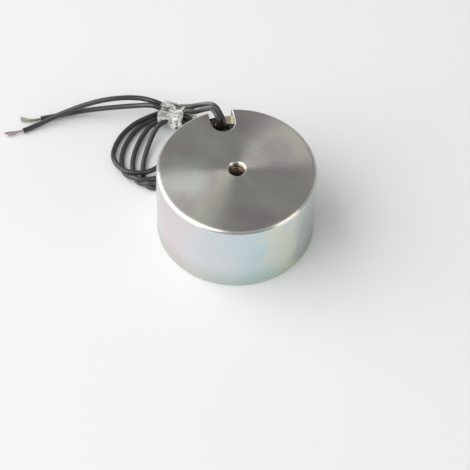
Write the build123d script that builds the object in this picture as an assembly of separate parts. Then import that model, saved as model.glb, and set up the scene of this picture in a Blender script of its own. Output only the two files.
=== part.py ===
from build123d import *
import os
from math import cos, pi, radians, sin, sqrt, tan

# Round holding electromagnet standing on its pole face, lengths in millimetres.
# Z is up, the origin is the centre of the pole face, and the notch that lets the leads out is on +Y.

# Pot core, turned from one steel bar
POT_DIAMETER = 50.0
POT_HEIGHT = 27.0
POT_WALL = 3.3
POLE_SHARE = 0.48
BACK_THICKNESS = 3.8
BACK_RIM_RADIUS = 1.5
FACE_RIM_CHAMFER = 0.3
RECESS_CORNER_RADIUS = 0.2

# Tapped hole in the middle of the back
THREAD_DIAMETER = 5.0
THREAD_PITCH = 0.8
THREAD_DEPTH = 11.0
DRILL_POINT_ANGLE = 118.0
COUNTERSINK_DIAMETER = 6.0

# Lead notch, milled through the back and the wall
NOTCH_WIDTH = 7.6
NOTCH_REACH = 9.3
NOTCH_OVERCUT = 0.2
NOTCH_EDGE_BREAK = 0.3

# Cast resin that closes the recess at the pole face
RESIN_THICKNESS = 2.0
RESIN_SINK = 0.1
RESIN_MENISCUS = 0.15

# Bobbin, winding and tape
BOBBIN_SIDE_GAP = RECESS_CORNER_RADIUS + 0.1
BOBBIN_HUB_WALL = 0.9
BOBBIN_FLANGE = 1.0
BOBBIN_EDGE_RADIUS = 0.25
TAPE_THICKNESS = 0.3
WINDING_WIRE_DIAMETER = 0.35
WIRE_BEND_RADIUS = 1.0

# Leads and the splices that join them to the winding
LEAD_DIAMETER = 1.7
LEAD_SPACE = 2.4
LEAD_SLOT_GAP = 0.2
ARC_SHARE = 0.45
SPLICE_HEIGHT = 15.8
SOLDER_DIAMETER = 1.3
SOLDER_LENGTH = 4.0
SOLDER_EDGE_RADIUS = 0.15
SLEEVE_WALL = 0.15
SLEEVE_SIDE_GAP = 0.1
SLEEVE_END_COVER = 1.0
SLEEVE_LEAD_COVER = 2.0
STRAND_BUNDLE_DIAMETER = 1.0

# Loose turns of the two leads behind the pot, each an ellipse in plan:
# centre x, centre y, long half axis, short half axis and turn in degrees
TURNS = [
    (-20.0, 36.0, 14.5, 10.2, 38.0),
    (-18.2, 34.1, 15.6, 10.4, 49.0),
    (-17.0, 32.9, 15.6, 8.4, 57.0),
    (-16.2, 32.2, 15.6, 6.2, 60.0),
]
COIL_HEIGHT = 4.4
COIL_EDGE_CHAMFER = 1.0

# Loose bundle of six strands, which the tie holds on a sloping axis
BUNDLE_CENTRE = Vector(-10.9, 44.7, 4.75)
BUNDLE_AXIS = Vector(-0.85, 0.48, -0.18).normalized()
BUNDLE_LENGTH = 9.6
BUNDLE_STRAIGHT = 2.0
STRAND_RING_RADIUS = 2.5
STRAND_ANGLES = {"a": 75.0, "b": 115.0}
TIE_LENGTH = 8.0
TIE_DIAMETER = 9.2
TIE_MOUTH_DIAMETER = 7.6

# Routes of the leads, between their straight ends
SLOT_POINT_HEIGHT = 20.0
EXIT_ROUTES = {
    "a": [
        (-0.95, 20.6, 24.2),
        (-1.2, 21.5, 27.6),
        (-2.1, 25.4, 27.6),
        (-3.0, 30.3, 21.9),
        (-3.7, 34.9, 16.2),
        (-4.6, 38.9, 10.9),
    ],
    "b": [
        (0.8, 20.8, 24.4),
        (0.1, 23.3, 26.4),
        (-0.8, 27.6, 26.2),
        (-1.7, 33.0, 20.9),
        (-2.5, 37.9, 14.9),
        (-3.2, 40.9, 11.2),
    ],
}
TAIL_ROUTES = {
    "a": [
        (-22.4, 50.8, 5.2),
        (-30.4, 52.9, 3.6),
        (-38.4, 54.8, 1.6),
        (-46.4, 55.2, 0.87),
        (-53.0, 54.8, 0.85),
    ],
    "b": [
        (-20.8, 51.7, 7.9),
        (-28.0, 53.2, 8.2),
        (-36.5, 54.2, 6.2),
        (-47.5, 53.8, 2.9),
        (-55.5, 52.1, 0.95),
        (-60.0, 51.0, 0.85),
    ],
}
STRAND_TIPS = {
    "a": [(-56.2, 54.6, 0.85), (-59.6, 56.6, 0.75)],
    "b": [(-63.0, 50.27, 0.78), (-66.4, 50.8, 0.7)],
}

pot_radius = POT_DIAMETER / 2
pole_radius = POLE_SHARE * pot_radius
recess_radius = pot_radius - POT_WALL
recess_top = POT_HEIGHT - BACK_THICKNESS
notch_centre = pot_radius - NOTCH_REACH + NOTCH_WIDTH / 2
resin_top = RESIN_SINK + RESIN_THICKNESS
hub_inner_radius = pole_radius + BOBBIN_SIDE_GAP
hub_radius = hub_inner_radius + BOBBIN_HUB_WALL
flange_radius = recess_radius - BOBBIN_SIDE_GAP
tape_radius = recess_radius - LEAD_SPACE
winding_radius = tape_radius - TAPE_THICKNESS
front_flange_top = resin_top + BOBBIN_FLANGE
winding_bottom = front_flange_top + WINDING_WIRE_DIAMETER
winding_top = recess_top - BOBBIN_FLANGE
lead_radius = LEAD_DIAMETER / 2
bundle_radius = STRAND_RING_RADIUS + lead_radius
splice_radius = (tape_radius + recess_radius) / 2
splice_x = lead_radius + SLEEVE_WALL + SLEEVE_SIDE_GAP / 2
splice_y = sqrt(splice_radius**2 - splice_x**2)
splice_bottom = SPLICE_HEIGHT - SOLDER_LENGTH
SIDES = {"a": -1, "b": 1}


def rim(shape: Part, radius: float, height: float) -> ShapeList:
    """Circles round the Z axis of one radius at one height."""
    centre = Vector(0, 0, height)
    slack = 0.0001
    circles = shape.edges().filter_by(GeomType.CIRCLE)
    centred = circles.filter_by(lambda edge: (edge.arc_center - centre).length < slack)
    return centred.filter_by(lambda edge: abs(edge.radius - radius) < slack)


def ring(inner: float, outer: float, bottom: float, top: float) -> Part:
    """Plain ring round the Z axis."""
    profile = Pos((inner + outer) / 2, (bottom + top) / 2) * Rectangle(outer - inner, top - bottom)
    return revolve(Plane.XZ * profile, Axis.Z)


def notch_outline(grow: float) -> Sketch:
    """Plan of the notch: a slot with a round inner end that runs out through the wall."""
    width = NOTCH_WIDTH + 2 * grow
    run_out = pot_radius + NOTCH_WIDTH - notch_centre
    end = Pos(0, notch_centre) * Circle(width / 2)
    run = Pos(0, notch_centre + run_out / 2) * Rectangle(width, run_out)
    return end + run


def tapped_hole() -> Part:
    """Tap drill with its point, and the countersink at the mouth."""
    drill_radius = (THREAD_DIAMETER - THREAD_PITCH) / 2
    floor = POT_HEIGHT - THREAD_DEPTH
    point = drill_radius / tan(radians(DRILL_POINT_ANGLE / 2))
    sink_radius = COUNTERSINK_DIAMETER / 2
    sink_depth = sink_radius - drill_radius
    profile = Polyline(
        (0, floor - point),
        (drill_radius, floor),
        (drill_radius, POT_HEIGHT - sink_depth),
        (sink_radius, POT_HEIGHT),
        (0, POT_HEIGHT),
        close=True,
    )
    return revolve(Plane.XZ * make_face(profile), Axis.Z)


def pot_core() -> Part:
    """Steel cup with its centre pole, the recess for the winding, the notch and the tapped hole."""
    pot = ring(0, pot_radius, 0, POT_HEIGHT)
    pot = fillet(rim(pot, pot_radius, POT_HEIGHT), BACK_RIM_RADIUS)
    pot = chamfer(rim(pot, pot_radius, 0), FACE_RIM_CHAMFER)
    recess = ring(pole_radius, recess_radius, 0, recess_top)
    corners = rim(recess, pole_radius, recess_top) + rim(recess, recess_radius, recess_top)
    pot -= fillet(corners, RECESS_CORNER_RADIUS)
    back = Plane.XY.offset(POT_HEIGHT)
    notch_depth = BACK_THICKNESS + NOTCH_OVERCUT
    pot -= extrude(back.offset(-notch_depth) * notch_outline(0), notch_depth)
    narrow = back.offset(-NOTCH_EDGE_BREAK) * notch_outline(0).face()
    wide = back * notch_outline(NOTCH_EDGE_BREAK).face()
    pot -= loft([narrow, wide])
    return pot - tapped_hole()


def potting_resin() -> Part:
    """Resin ring between pole and wall, drawn in slightly between them where it shrank."""
    inner_edge = (pole_radius, RESIN_SINK)
    outer_edge = (recess_radius, RESIN_SINK)
    middle = ((pole_radius + recess_radius) / 2, RESIN_SINK + RESIN_MENISCUS)
    outline = Polyline(inner_edge, (pole_radius, resin_top), (recess_radius, resin_top), outer_edge)
    sink = ThreePointArc(outer_edge, middle, inner_edge)
    return revolve(Plane.XZ * make_face(outline.edges() + sink.edges()), Axis.Z)


def bobbin() -> Part:
    """Moulded spool, its back flange slotted down to the tape where the leads pass."""
    spool = ring(hub_inner_radius, flange_radius, resin_top, recess_top)
    spool -= ring(hub_radius, recess_radius, front_flange_top, winding_top)
    rims = rim(spool, flange_radius, recess_top) + rim(spool, flange_radius, resin_top)
    spool = fillet(rims, BOBBIN_EDGE_RADIUS)
    slot_width = 2 * (splice_x + lead_radius + LEAD_SLOT_GAP)
    slot_depth = recess_radius - tape_radius
    slot = Box(slot_width, slot_depth, 3 * BOBBIN_FLANGE)
    return spool - Pos(0, tape_radius + slot_depth / 2, recess_top) * slot


def coil_winding() -> Part:
    """Copper winding on the hub, held off the front flange by the wire that crosses there."""
    return ring(hub_radius, winding_radius, winding_bottom, winding_top)


def winding_tape() -> Part:
    """Polyester tape round the winding."""
    return ring(winding_radius, tape_radius, winding_bottom, winding_top)


def round_bar(points: list, radii: list, diameter: float) -> Part:
    """Round bar along straight runs joined by tangent arcs."""
    path = FilletPolyline(*points, radius=radii) if radii else Polyline(*points)
    start = Plane(origin=path @ 0, z_dir=path % 0)
    return sweep(start * Circle(diameter / 2), path=path)


def winding_wire(side: int, inner_radius: float) -> Part:
    """Enamelled wire from the winding out past the front flange and up to its solder joint."""
    height = front_flange_top + WINDING_WIRE_DIAMETER / 2
    x = side * splice_x
    start = (x, sqrt(inner_radius**2 - x**2), height)
    corner = (x, splice_y, height)
    end = (x, splice_y, splice_bottom)
    return round_bar([start, corner, end], [WIRE_BEND_RADIUS], WINDING_WIRE_DIAMETER)


def solder_joint(side: int) -> Part:
    """Soldered splice, rounded at both ends."""
    bar = Cylinder(SOLDER_DIAMETER / 2, SOLDER_LENGTH)
    bar = fillet(bar.edges().filter_by(GeomType.CIRCLE), SOLDER_EDGE_RADIUS)
    return Pos(side * splice_x, splice_y, splice_bottom + SOLDER_LENGTH / 2) * bar


def joint_sleeve(side: int) -> Part:
    """Shrink sleeve that grips the end of the lead and covers the splice."""
    bottom = splice_bottom - SLEEVE_END_COVER
    top = SPLICE_HEIGHT + SLEEVE_LEAD_COVER
    tube = Cylinder(lead_radius + SLEEVE_WALL, top - bottom) - Cylinder(lead_radius, top - bottom)
    return Pos(side * splice_x, splice_y, (bottom + top) / 2) * tube


def arc_radii(points: list) -> list:
    """Radius of each tangent arc of a route, as large as its two runs allow."""
    corners = [Vector(*point) for point in points]
    radii = []
    for before, corner, after in zip(corners, corners[1:], corners[2:]):
        turn = (corner - before).get_angle(after - corner)
        shorter = min((corner - before).length, (after - corner).length)
        radii.append(ARC_SHARE * shorter / tan(radians(turn / 2)))
    return radii


def lead_tube(name: str, points: list) -> Part:
    """Insulated lead along a route, with its radii, length and volume printed."""
    radii = arc_radii(points)
    tube = round_bar(points, radii, LEAD_DIAMETER)
    length = FilletPolyline(*points, radius=radii).length
    share = tube.volume / (pi * lead_radius**2 * length)
    print(name, "radii", [round(radius, 1) for radius in radii])
    print(name, "length", round(length, 1), "volume share", round(share, 4))
    return tube


def bundle_plane(along: float) -> Plane:
    """Plane across the bundle, its x towards the pot's front and its y upwards."""
    across = Vector(0, 0, 1).cross(BUNDLE_AXIS)
    return Plane(origin=BUNDLE_CENTRE + BUNDLE_AXIS * along, x_dir=across, z_dir=BUNDLE_AXIS)


def bundle_point(name: str, along: float) -> tuple:
    """Centre of the upper strand of one lead, one distance along the bundle."""
    angle = radians(STRAND_ANGLES[name])
    offset = Vector(STRAND_RING_RADIUS * cos(angle), STRAND_RING_RADIUS * sin(angle), 0)
    return tuple(bundle_plane(along).from_local_coords(offset))


def exit_tube(name: str) -> Part:
    """Lead from its splice up through the notch, over and down to the bundle."""
    x = SIDES[name] * splice_x
    joint = (x, splice_y, SPLICE_HEIGHT)
    slot = (x, splice_y, SLOT_POINT_HEIGHT)
    far = bundle_point(name, -BUNDLE_LENGTH / 2)
    before = bundle_point(name, -BUNDLE_LENGTH / 2 - BUNDLE_STRAIGHT)
    return lead_tube(f"lead_{name}_exit", [joint, slot, *EXIT_ROUTES[name], before, far])


def tail_tube(name: str) -> Part:
    """Lead from the bundle to its stripped end."""
    near = bundle_point(name, BUNDLE_LENGTH / 2)
    after = bundle_point(name, BUNDLE_LENGTH / 2 + BUNDLE_STRAIGHT)
    return lead_tube(f"lead_{name}_tail", [near, after, *TAIL_ROUTES[name]])


def bare_strands(name: str) -> Part:
    """Twisted copper strands that stand out of the stripped end."""
    points = [TAIL_ROUTES[name][-1], *STRAND_TIPS[name]]
    return round_bar(points, arc_radii(points), STRAND_BUNDLE_DIAMETER)


def bundle_core() -> Part:
    """Round core of the bundle inside and just outside the tie."""
    return extrude(bundle_plane(-BUNDLE_LENGTH / 2) * Circle(bundle_radius), BUNDLE_LENGTH)


def tie_barrel() -> Part:
    """Outer shape of the crumpled tie, without its bore."""
    mouth = TIE_MOUTH_DIAMETER / 2
    half = TIE_LENGTH / 2
    sides = Polyline((mouth, -half), (0, -half), (0, half), (mouth, half))
    belly = ThreePointArc((mouth, half), (TIE_DIAMETER / 2, 0), (mouth, -half))
    profile = make_face(sides.edges() + belly.edges())
    barrel = revolve(Plane.XZ * profile, Axis.Z)
    return bundle_plane(0).location * barrel


def turn_outline(turn: tuple, grow: float) -> Sketch:
    """Plan of one loose turn, grown or shrunk."""
    x, y, long_half, short_half, angle = turn
    return Pos(x, y) * Rot(0, 0, angle) * Ellipse(long_half + grow, short_half + grow)


def lead_coil() -> Part:
    """Outer shape of the loose turns, which lie fanned out on the ground and gather in the tie."""
    outside = turn_outline(TURNS[0], lead_radius)
    inside = turn_outline(TURNS[0], -lead_radius)
    for turn in TURNS[1:]:
        outside += turn_outline(turn, lead_radius)
        inside = inside & turn_outline(turn, -lead_radius)
    coil = extrude(outside - inside, COIL_HEIGHT)
    coil = chamfer(coil.edges().filter_by(Plane.XY), COIL_EDGE_CHAMFER)
    return coil - tie_barrel() + bundle_core()


def tie_film() -> Part:
    """Crumpled film wound round the bundle."""
    return tie_barrel() - bundle_core()


parts = {
    "pot_core": pot_core(),
    "potting_resin": potting_resin(),
    "bobbin": bobbin(),
    "coil_winding": coil_winding(),
    "winding_tape": winding_tape(),
    "lead_coil": lead_coil(),
    "tie_film": tie_film(),
}
wire_starts = {"a": hub_radius + WINDING_WIRE_DIAMETER, "b": winding_radius - WINDING_WIRE_DIAMETER}
for name, side in SIDES.items():
    parts[f"winding_wire_{name}"] = winding_wire(side, wire_starts[name])
    parts[f"solder_joint_{name}"] = solder_joint(side)
    parts[f"joint_sleeve_{name}"] = joint_sleeve(side)
    parts[f"lead_{name}_exit"] = exit_tube(name)
    parts[f"lead_{name}_tail"] = tail_tube(name)
    parts[f"bare_strands_{name}"] = bare_strands(name)

for name, solid in parts.items():
    solid.label = name
    export_step(solid, f"parts/{name}.step")
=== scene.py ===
import logging
import math
import random
from dataclasses import dataclass, field
from enum import Enum

import bpy
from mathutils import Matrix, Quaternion, Vector


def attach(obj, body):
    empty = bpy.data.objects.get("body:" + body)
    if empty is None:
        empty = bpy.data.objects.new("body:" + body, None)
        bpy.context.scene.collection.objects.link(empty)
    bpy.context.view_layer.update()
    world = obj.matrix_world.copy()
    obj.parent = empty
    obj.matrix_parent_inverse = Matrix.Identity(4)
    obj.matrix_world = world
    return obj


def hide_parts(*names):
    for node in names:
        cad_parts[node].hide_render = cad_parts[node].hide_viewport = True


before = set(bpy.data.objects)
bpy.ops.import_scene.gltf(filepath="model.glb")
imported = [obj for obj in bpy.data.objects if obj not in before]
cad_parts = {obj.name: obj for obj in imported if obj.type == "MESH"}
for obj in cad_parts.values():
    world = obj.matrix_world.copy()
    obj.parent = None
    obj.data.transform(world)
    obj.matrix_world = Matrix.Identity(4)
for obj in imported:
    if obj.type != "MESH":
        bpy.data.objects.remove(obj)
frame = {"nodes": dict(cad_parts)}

# Looks of a round holding electromagnet, in metres, in the frame of its solids: Z up, the pole face
# on the floor, the lead notch on +Y. Colours are linear. A Ramp holds the value at which a mask is 0
# and the value at which it is 1.

LOG = logging.getLogger("holding_electromagnet")
Colour = tuple[float, float, float]
Place = tuple[float, float, float]
Ramp = tuple[float, float]
Socket = bpy.types.NodeSocket

# Numbers of a mix node's sockets for colours, which share their names with those for numbers.
MIX_FACTOR, MIX_UNDER, MIX_OVER, MIX_COLOUR = 0, 6, 7, 2
# Turn from one wire to the next, in radians, which spreads any number of wires evenly over a circle.
EVEN_TURN = 2.39996


class Blend(Enum):
    """How one colour is laid over another."""

    MIX = "MIX"
    MULTIPLY = "MULTIPLY"
    OVERLAY = "OVERLAY"


class LeadName(Enum):
    """The two leads."""

    A = "a"
    B = "b"


def deselect_everything() -> None:
    """Leave edit mode and select nothing."""
    if bpy.context.object and bpy.context.object.mode != "OBJECT":
        bpy.ops.object.mode_set(mode="OBJECT")
    bpy.ops.object.select_all(action="DESELECT")


def choose(*pieces: bpy.types.Object) -> None:
    """Select some pieces and nothing else, with the first of them active.

    Args:
        pieces: The pieces.
    """
    deselect_everything()
    for piece in pieces:
        piece.select_set(True)
    bpy.context.view_layer.objects.active = pieces[0]


def settle(piece: bpy.types.Object) -> None:
    """Move a piece's place, turn and size into its mesh."""
    choose(piece)
    bpy.ops.object.transform_apply(location=True, rotation=True, scale=True)


def apply_modifier(piece: bpy.types.Object, kind: str, **settings: object) -> None:
    """Add one modifier with its settings and apply it.

    Args:
        piece: A mesh object.
        kind: Type of the modifier.
        settings: Its settings by name.
    """
    modifier = piece.modifiers.new(kind.lower(), kind)
    for name, value in settings.items():
        setattr(modifier, name, value)
    bpy.context.view_layer.objects.active = piece
    bpy.ops.object.modifier_apply(modifier=modifier.name)


def finish_with(piece: bpy.types.Object, material: bpy.types.Material) -> None:
    """Give a piece one material in place of any that it has."""
    piece.data.materials.clear()
    piece.data.materials.append(material)


def round_curve(name: str, diameter: float, facets: int, fineness: int) -> bpy.types.Curve:
    """Start a curve with a round section and closed ends.

    Args:
        name: Its name.
        diameter: Diameter of the section.
        facets: Roundness of the section.
        fineness: Steps from one control point to the next.

    Returns:
        The curve, with no spline yet.
    """
    curve = bpy.data.curves.new(name, "CURVE")
    curve.dimensions = "3D"
    curve.resolution_u = fineness
    curve.bevel_depth = diameter / 2
    curve.bevel_resolution = facets
    curve.use_fill_caps = True
    return curve


def add_spline(curve: bpy.types.Curve, points: list[Vector]) -> None:
    """Add one open spline that starts and ends at the ends of its control points.

    Args:
        curve: The curve that gets it.
        points: Its control points.
    """
    spline = curve.splines.new("NURBS")
    spline.points.add(len(points) - 1)
    for point, place in zip(spline.points, points):
        point.co = (*place, 1.0)
    spline.order_u = 3
    spline.use_endpoint_u = True
    spline.resolution_u = curve.resolution_u


def ease(share: float) -> float:
    """Rise smoothly from 0 to 1 while a share does; outside that it stays at 0 or 1."""
    kept = min(1.0, max(0.0, share))
    return kept * kept * (3 - 2 * kept)


class Shader:
    """Node tree of one finish, which ends in one principled surface."""

    def __init__(self, name: str) -> None:
        """Start the tree.

        Args:
            name: Name of the material.
        """
        self.material = bpy.data.materials.new(name)
        self.material.use_nodes = True
        self.tree = self.material.node_tree
        self.tree.nodes.clear()
        self.surface = self.node("ShaderNodeBsdfPrincipled")
        self.output = self.node("ShaderNodeOutputMaterial")
        self.feed(self.output.inputs[0], self.surface.outputs[0])
        self.place = self.node("ShaderNodeTexCoord").outputs["Object"]

    def node(self, kind: str, **settings: object) -> bpy.types.Node:
        """Add one node with its settings.

        Args:
            kind: Type of the node.
            settings: Its settings by name.

        Returns:
            The new node.
        """
        made = self.tree.nodes.new(kind)
        for name, value in settings.items():
            setattr(made, name, value)
        return made

    def feed(self, socket: Socket, value: object) -> None:
        """Link a socket, or set its constant value.

        Args:
            socket: Input socket.
            value: Output socket, number or colour.
        """
        if isinstance(value, Socket):
            self.tree.links.new(value, socket)
        elif socket.type == "RGBA" and len(value) == 3:
            socket.default_value = (*value, 1.0)
        else:
            socket.default_value = value

    def set(self, **values: object) -> None:
        """Feed inputs of the principled surface, named with low lines for spaces.

        Args:
            values: Output sockets, numbers or colours by input name.
        """
        for name, value in values.items():
            self.feed(self.surface.inputs[name.replace("_", " ")], value)

    def maths(self, operation: str, *terms: object) -> Socket:
        """Work out one number.

        Args:
            operation: Name of the operation.
            terms: Sockets or numbers.

        Returns:
            Socket with the result.
        """
        made = self.node("ShaderNodeMath", operation=operation)
        for socket, term in zip(made.inputs, terms):
            self.feed(socket, term)
        return made.outputs[0]

    def times(self, first: object, second: object) -> Socket:
        """Product of two sockets or numbers."""
        return self.maths("MULTIPLY", first, second)

    def rest(self, mask: Socket) -> Socket:
        """What a mask leaves of 1."""
        return self.maths("SUBTRACT", 1.0, mask)

    def between(self, value: Socket, low: float, high: float) -> Socket:
        """Rise smoothly from 0 to 1 while a value goes from low to high; low may be the larger.

        Args:
            value: Socket with the value.
            low: Where the result is 0.
            high: Where the result is 1.

        Returns:
            Socket with the result.
        """
        made = self.node("ShaderNodeMapRange", interpolation_type="SMOOTHSTEP")
        self.feed(made.inputs["Value"], value)
        made.inputs["From Min"].default_value = min(low, high)
        made.inputs["From Max"].default_value = max(low, high)
        made.inputs["To Min"].default_value = 0.0 if low < high else 1.0
        made.inputs["To Max"].default_value = 1.0 if low < high else 0.0
        return made.outputs[0]

    def scaled(self, value: Socket, low: float, high: float) -> Socket:
        """Stretch a value of 0 to 1 to a range.

        Args:
            value: Socket with the value.
            low: Result at 0.
            high: Result at 1.

        Returns:
            Socket with the result.
        """
        made = self.node("ShaderNodeMapRange")
        self.feed(made.inputs["Value"], value)
        made.inputs["To Min"].default_value = low
        made.inputs["To Max"].default_value = high
        return made.outputs[0]

    def axis(self, vector: Socket, letter: str) -> Socket:
        """One component of a vector.

        Args:
            vector: Socket with the vector.
            letter: X, Y or Z.

        Returns:
            Socket with the component.
        """
        made = self.node("ShaderNodeSeparateXYZ")
        self.feed(made.inputs[0], vector)
        return made.outputs[letter]

    def stretched(self, centre: Place, turn: Place = (0, 0, 0), scale: Place = (1, 1, 1)) -> Socket:
        """Object coordinates moved, turned and scaled.

        Args:
            centre: Place that becomes the origin of the pattern.
            turn: Turns about the axes, in radians.
            scale: Scale along the axes.

        Returns:
            Socket with the coordinates.
        """
        moved = self.node("ShaderNodeVectorMath", operation="SUBTRACT")
        self.feed(moved.inputs[0], self.place)
        moved.inputs[1].default_value = centre
        made = self.node("ShaderNodeMapping")
        self.feed(made.inputs["Vector"], moved.outputs[0])
        made.inputs["Rotation"].default_value = turn
        made.inputs["Scale"].default_value = scale
        return made.outputs[0]

    def radius(self) -> Socket:
        """Distance from the Z axis.

        Returns:
            Socket with the distance.
        """
        flat = self.node("ShaderNodeVectorMath", operation="MULTIPLY")
        self.feed(flat.inputs[0], self.place)
        flat.inputs[1].default_value = (1, 1, 0)
        length = self.node("ShaderNodeVectorMath", operation="LENGTH")
        self.feed(length.inputs[0], flat.outputs[0])
        return length.outputs["Value"]

    def noise(self, scale: float, detail: float = 2.0, rough: float = 0.5, warp: float = 0.0,
              at: Socket | None = None) -> Socket:
        """Cloudy noise.

        Args:
            scale: Cells a metre.
            detail: Number of finer layers.
            rough: Strength of the finer layers.
            warp: Distortion.
            at: Coordinates; object coordinates if not given.

        Returns:
            Socket with a value around 0.5.
        """
        made = self.node("ShaderNodeTexNoise")
        self.feed(made.inputs["Vector"], at or self.place)
        made.inputs["Scale"].default_value = scale
        made.inputs["Detail"].default_value = detail
        made.inputs["Roughness"].default_value = rough
        made.inputs["Distortion"].default_value = warp
        return made.outputs[0]

    def line_noise(self, along: Socket, scale: float, detail: float) -> Socket:
        """Noise of one value, such as marks that differ only with the radius.

        Args:
            along: Socket with the value.
            scale: Cells a metre.
            detail: Number of finer layers.

        Returns:
            Socket with a value around 0.5.
        """
        made = self.node("ShaderNodeTexNoise", noise_dimensions="1D")
        self.feed(made.inputs["W"], along)
        made.inputs["Scale"].default_value = scale
        made.inputs["Detail"].default_value = detail
        return made.outputs[0]

    def cells(self, scale: float, feature: str = "F1", at: Socket | None = None) -> Socket:
        """Distance in a pattern of cells.

        Args:
            scale: Cells a metre.
            feature: Which distance.
            at: Coordinates; object coordinates if not given.

        Returns:
            Socket with the distance.
        """
        made = self.node("ShaderNodeTexVoronoi", feature=feature)
        self.feed(made.inputs["Vector"], at or self.place)
        made.inputs["Scale"].default_value = scale
        return made.outputs["Distance"]

    def laid(self, factor: object, under: object, over: object, blend: Blend = Blend.MIX) -> Socket:
        """Lay one colour over another.

        Args:
            factor: Socket or number, 0 to 1.
            under: Colour below.
            over: Colour on top.
            blend: How it is laid.

        Returns:
            Socket with the colour.
        """
        made = self.node("ShaderNodeMix", data_type="RGBA", blend_type=blend.value)
        self.feed(made.inputs[MIX_FACTOR], factor)
        self.feed(made.inputs[MIX_UNDER], under)
        self.feed(made.inputs[MIX_OVER], over)
        return made.outputs[MIX_COLOUR]

    def relief(self, height: Socket, depth: float, strength: float, below: Socket | None = None) -> Socket:
        """Bump a surface.

        Args:
            height: Socket with a height of 0 to 1.
            depth: Height of 1, in metres.
            strength: Strength of the bump.
            below: Normal of a coarser bump.

        Returns:
            Socket with the normal.
        """
        made = self.node("ShaderNodeBump")
        made.inputs["Strength"].default_value = strength
        made.inputs["Distance"].default_value = depth
        self.feed(made.inputs["Height"], height)
        if below is not None:
            self.feed(made.inputs["Normal"], below)
        return made.outputs[0]


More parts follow.
